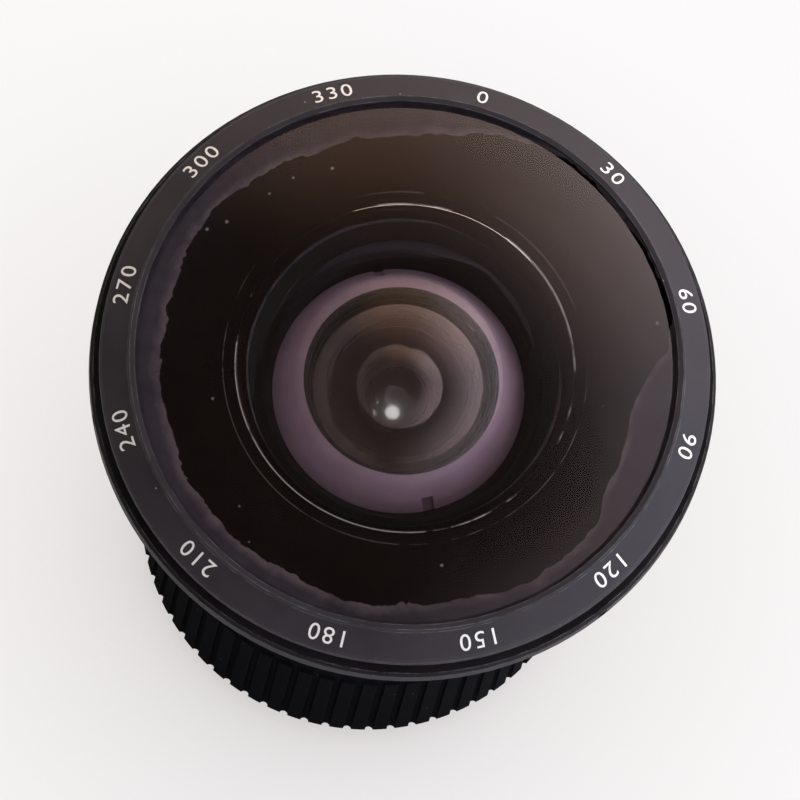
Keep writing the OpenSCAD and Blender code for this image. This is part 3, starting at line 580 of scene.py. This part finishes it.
# %% Aperture scale
BAND_R, BAND_DEPTH = 27.7 * MM, 1.05 * MM
STOP_SIZE = 2 * MM
STOP_DIGIT_STEP = math.radians(2.7)
HOLE_STEP, DISC_TEETH, RING_TEETH = 45, 26, 42
stop_step = math.radians(HOLE_STEP * DISC_TEETH / RING_TEETH)
band_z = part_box("aperture_ring")[1].z - BAND_DEPTH
stop_pieces = []
for i, label in enumerate(("8", "11", "16", "22")):
    for digit, turned_by in digit_turns(label, STOP_DIGIT_STEP):
        around = heading(math.radians(-90) - i * stop_step + turned_by)
        place = axes_place(UP.cross(around), UP, around, around * BAND_R + UP * band_z)
        stop_pieces.append(set_digit(digit, STOP_SIZE, place))
stop_numbers = join_pieces(stop_pieces, "stop_numbers")
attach(stop_numbers, "ring")
print("stops are %.2f degrees apart" % math.degrees(stop_step))

# %% [markdown]
# Paint behind the glass
#
# The flat rear edges of the two front glasses are painted black against stray light. With
# age the paint lets go near an edge, and there it looks purple-grey with a ragged border. The
# hollow's own edge is ground, so it shows as a thin, broken bright circle. Each coat is a
# thin ring, set a hair into the glass so that no air is left between glass and paint. The
# round edges of both glasses are inked too, each with a thin band.

# %% Paint rings and ink bands
PAINT_T = 0.02 * MM
COAT_SIDES = 192


def thin_coat(name, start, end):
    """A thin skin round the axis, from one radius and height to another."""
    start_r, start_z = start
    end_r, end_z = end
    grow = end_r / start_r
    deselect_all()
    bpy.ops.mesh.primitive_circle_add(vertices=COAT_SIDES, radius=start_r, fill_type="NOTHING",
                                      location=(0, 0, start_z))
    made = bpy.context.object
    made.name = name
    bpy.ops.object.mode_set(mode="EDIT")
    bpy.ops.mesh.select_all(action="SELECT")
    bpy.ops.mesh.extrude_edges_move(TRANSFORM_OT_translate={"value": (0, 0, end_z - start_z)})
    bpy.ops.transform.resize(value=(grow, grow, 1), center_override=(0, 0, end_z))
    bpy.ops.mesh.select_all(action="SELECT")
    bpy.ops.mesh.normals_make_consistent(inside=False)
    bpy.ops.object.mode_set(mode="OBJECT")
    bpy.ops.object.transform_apply(location=True, rotation=True, scale=True)
    solid = made.modifiers.new("coat", "SOLIDIFY")
    solid.thickness = PAINT_T
    solid.offset = 0
    bpy.ops.object.modifier_apply(modifier="coat")
    return made


def paint_ring(name, node, inner, outer):
    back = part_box(node)[0].z
    return thin_coat(name, (inner, back), (outer, back))


def ink_band(name, node, height):
    low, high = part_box(node)
    return thin_coat(name, (high.x, low.z + PAINT_T), (high.x, low.z + height))


edge_paint = paint_ring("edge_paint", "front_element", inner=19.55 * MM, outer=34.2 * MM)
second_paint = paint_ring("second_paint", "second_element", inner=12.55 * MM, outer=16.1 * MM)
second_ink = ink_band("second_ink", "second_element", height=3.5 * MM)
front_ink = ink_band("front_ink", "front_element", height=5.3 * MM)
print("paint ring faces:", len(edge_paint.data.polygons))

# %% [markdown]
# Lifted paint
#
# The border of the lifted band is a radius with two noises added: a wide one for its bays and
# a fine one for its ragged edge. On one side the paint has held out to the rim, and on another
# it has torn further in. Comparing a point's own radius with the border gives the mask.

# %% Border of the lifted paint
SIDES = {"Held": (52, 0.94, 0.74), "Torn": (0, 0.985, 0.93)}  # azimuth, cosines for full and none

lifted_paint, given, result = start_group(
    "lifted_paint", {"Border": 30 * MM, "Bays": 1 * MM, "Raggedness": 0.4 * MM, "Bay scale": 62.0,
                     "Held": 0.0, "Torn": 0.0}, ["Past border", "Radius"])


def swing(wave, amount):
    """A noise as a shift of the border, up to the amount either way."""
    both_ways = remap(lifted_paint, wave, NOISE_LOW, NOISE_HIGH, -1.0, 1.0)
    return math_node(lifted_paint, "MULTIPLY", both_ways, amount)


flat = flatten(lifted_paint, object_place(lifted_paint))
radius = length(lifted_paint, flat)
fine = noise(lifted_paint, flat, scale=330.0, detail=7.0, roughness=0.62)
wide = noise(lifted_paint, flat, scale=given.outputs["Bay scale"], detail=1.5)
bays = swing(wide, given.outputs["Bays"])
rags = swing(fine, given.outputs["Raggedness"])
border = math_node(lifted_paint, "ADD", given.outputs["Border"], math_node(lifted_paint, "ADD", bays, rags))
around = unit(lifted_paint, flat)
for amount, (azimuth, full, none) in SIDES.items():
    facing = dot(lifted_paint, around, heading(math.radians(azimuth)))
    share = remap(lifted_paint, facing, none, full)
    shift = math_node(lifted_paint, "MULTIPLY", share, given.outputs[amount])
    border = math_node(lifted_paint, "ADD", border, shift)
connect(lifted_paint, result, {"Past border": math_node(lifted_paint, "SUBTRACT", radius, border),
                               "Radius": radius})
print("effect:", lifted_paint.name)

# %% How a coat of paint is built
PAINT_DARK, PAINT_FADED = (0.004, 0.0022, 0.002, 1), (0.008, 0.005, 0.0045, 1)
PAINT_DUST = (0.3, 0.26, 0.26, 1)
FLAKE_HIGHLIGHT = (0.17, 0.13, 0.145, 1)
GROUND_GLASS = (0.55, 0.5, 0.48, 1)
PAINT_CLOUDS = {"Scale": 300.0, "Specks per metre": 480.0, "Speck share": 0.22}
BORDER_BLEND, LINE_BLEND = 0.1 * MM, 0.04 * MM
HIGHLIGHT_FULL, HIGHLIGHT_NONE = 0.3 * MM, 1.3 * MM
HIGHLIGHT_CLOUDS = dict(low=0.2, high=0.7, to_low=0.3)
WORN_CLOUDS = {"Scale": 110.0}
WORN_LOW, WORN_HIGH = 0.35, 0.5


def paint_coat(name, band, lift_dark, lift_pale, circles=()):
    made, tree, shader = start_material(name)
    lift = place_group(tree, lifted_paint, band)
    past = lift.outputs["Past border"]
    lifted = remap(tree, past, 0.0, BORDER_BLEND)
    # Painted highlight: a lighter band just past the border of the lifted paint, broken by the clouds.
    flake_highlight = math_node(tree, "MULTIPLY", lifted, remap(tree, past, HIGHLIGHT_FULL, HIGHLIGHT_NONE, 1.0, 0.0))
    clouds = place_group(tree, clouding, PAINT_CLOUDS)
    cloud = clouds.outputs["Cloud"]
    color = blend_colors(tree, cloud, PAINT_DARK, PAINT_FADED)
    color = blend_colors(tree, clouds.outputs["Specks"], color, PAINT_DUST)
    lift_color = blend_colors(tree, cloud, lift_dark, lift_pale)
    flake_highlight = math_node(tree, "MULTIPLY", flake_highlight, remap(tree, cloud, **HIGHLIGHT_CLOUDS))
    lift_color = blend_colors(tree, flake_highlight, lift_color, FLAKE_HIGHLIGHT)
    color = blend_colors(tree, lifted, color, lift_color)
    worn = place_group(tree, clouding, WORN_CLOUDS).outputs["Cloud"]
    for at, width, strength in circles:
        off = math_node(tree, "ABSOLUTE", math_node(tree, "SUBTRACT", lift.outputs["Radius"], at))
        line = remap(tree, off, width / 2, width / 2 + LINE_BLEND, 1.0, 0.0)
        line = math_node(tree, "MULTIPLY", line, remap(tree, worn, WORN_LOW, WORN_HIGH))
        color = blend_colors(tree, math_node(tree, "MULTIPLY", line, strength), color, GROUND_GLASS)
    connect(tree, shader, {"Base Color": color, "Roughness": 0.7, "Specular IOR Level": 0.0})
    return made


print("a coat of paint places:", lifted_paint.name, clouding.name)

# %% Coats of paint and ink
HOLLOW_EDGE = (19.6 * MM, 0.12 * MM, 0.8)  # radius, width and strength of a circle
FAINT_CIRCLE = (21.1 * MM, 0.1 * MM, 0.13)
edge_band = {"Border": 29 * MM, "Bays": 0.9 * MM, "Raggedness": 0.5 * MM, "Bay scale": 60.0,
             "Held": 4.5 * MM, "Torn": -2.5 * MM}
second_band = {"Border": 13.8 * MM, "Bays": 0.3 * MM, "Raggedness": 0.3 * MM, "Bay scale": 150.0}
coats = {
    edge_paint: paint_coat("edge_paint", edge_band, lift_dark=(0.055, 0.045, 0.06, 1),
                           lift_pale=(0.085, 0.068, 0.085, 1), circles=[HOLLOW_EDGE, FAINT_CIRCLE]),
    second_paint: paint_coat("second_paint", second_band, lift_dark=(0.12, 0.085, 0.085, 1),
                             lift_pale=(0.2, 0.15, 0.145, 1)),
    second_ink: plain_coat("lifted_ink", dark=(0.1, 0.065, 0.06, 1), pale=(0.62, 0.48, 0.44, 1),
                           roughness=0.7, scale=260.0),
    front_ink: plain_coat("black_ink", dark=(0.003, 0.002, 0.002, 1), pale=(0.006, 0.004, 0.004, 1),
                          roughness=0.8, scale=300.0)}
for coat, finish in coats.items():
    coat.data.materials.append(finish)
    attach(coat, "barrel")
print("coats:", ", ".join(coat.name for coat in coats))

# %% [markdown]
# Mount thread
#
# The back of the lens screws into a camera adapter with a 42 mm thread of 0.75 mm pitch. The
# CAD mount has the plain 42 mm cylinder. A copy of it is merged to one skin, and a helical
# V-groove, which the Screw modifier winds from a triangle, is cut out of it by a Boolean.

# %% Copy of the mount
WELD = 0.001 * MM


def make_active(piece):
    deselect_all()
    piece.select_set(True)
    bpy.context.view_layer.objects.active = piece


mount_ring = bpy.data.objects.new("mount_ring", nodes["t_mount"].data.copy())
bpy.context.scene.collection.objects.link(mount_ring)
make_active(mount_ring)
bpy.ops.object.mode_set(mode="EDIT")
bpy.ops.mesh.select_all(action="SELECT")
bpy.ops.mesh.remove_doubles(threshold=WELD)
bpy.ops.object.mode_set(mode="OBJECT")
print("plain mount faces:", len(mount_ring.data.polygons))

# %% Groove
PITCH, THREAD_R = 0.75 * MM, 21 * MM
GROOVE_DEPTH, GROOVE_W = 0.4 * MM, 0.62 * MM
CLEARANCE = 0.06 * MM
TURNS, STEPS_PER_TURN = 6, 120

deselect_all()
bpy.ops.mesh.primitive_circle_add(vertices=3, radius=GROOVE_W, fill_type="NOTHING")
groove = bpy.context.object
groove_start = -PITCH / 2
outer_r = THREAD_R + CLEARANCE
corners = ((THREAD_R - GROOVE_DEPTH, 0), (outer_r, -GROOVE_W / 2), (outer_r, GROOVE_W / 2))
for vertex, (r, z) in zip(groove.data.vertices, corners):
    vertex.co = (r, 0, groove_start + z)
wind = groove.modifiers.new("wind", "SCREW")
wind.screw_offset = PITCH
wind.iterations = TURNS
wind.steps = STEPS_PER_TURN
wind.render_steps = STEPS_PER_TURN
wind.use_merge_vertices = False
bpy.ops.object.modifier_apply(modifier="wind")
bpy.ops.object.mode_set(mode="EDIT")
bpy.ops.mesh.select_all(action="SELECT")
bpy.ops.mesh.fill_holes(sides=4)
bpy.ops.mesh.select_all(action="SELECT")
bpy.ops.mesh.normals_make_consistent(inside=False)
bpy.ops.object.mode_set(mode="OBJECT")
print("groove faces:", len(groove.data.polygons))

# %% Threaded mount
make_active(mount_ring)
cut = mount_ring.modifiers.new("thread", "BOOLEAN")
cut.operation = "DIFFERENCE"
cut.solver = "EXACT"
cut.object = groove
bpy.ops.object.modifier_apply(modifier="thread")
bpy.data.objects.remove(groove)
bpy.ops.object.shade_smooth_by_angle(angle=math.radians(30))
mount_ring.data.materials.clear()
mount_ring.data.materials.append(finishes["mount_black"])
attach(mount_ring, "barrel")
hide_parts("t_mount")
print("threaded mount faces:", len(mount_ring.data.polygons))
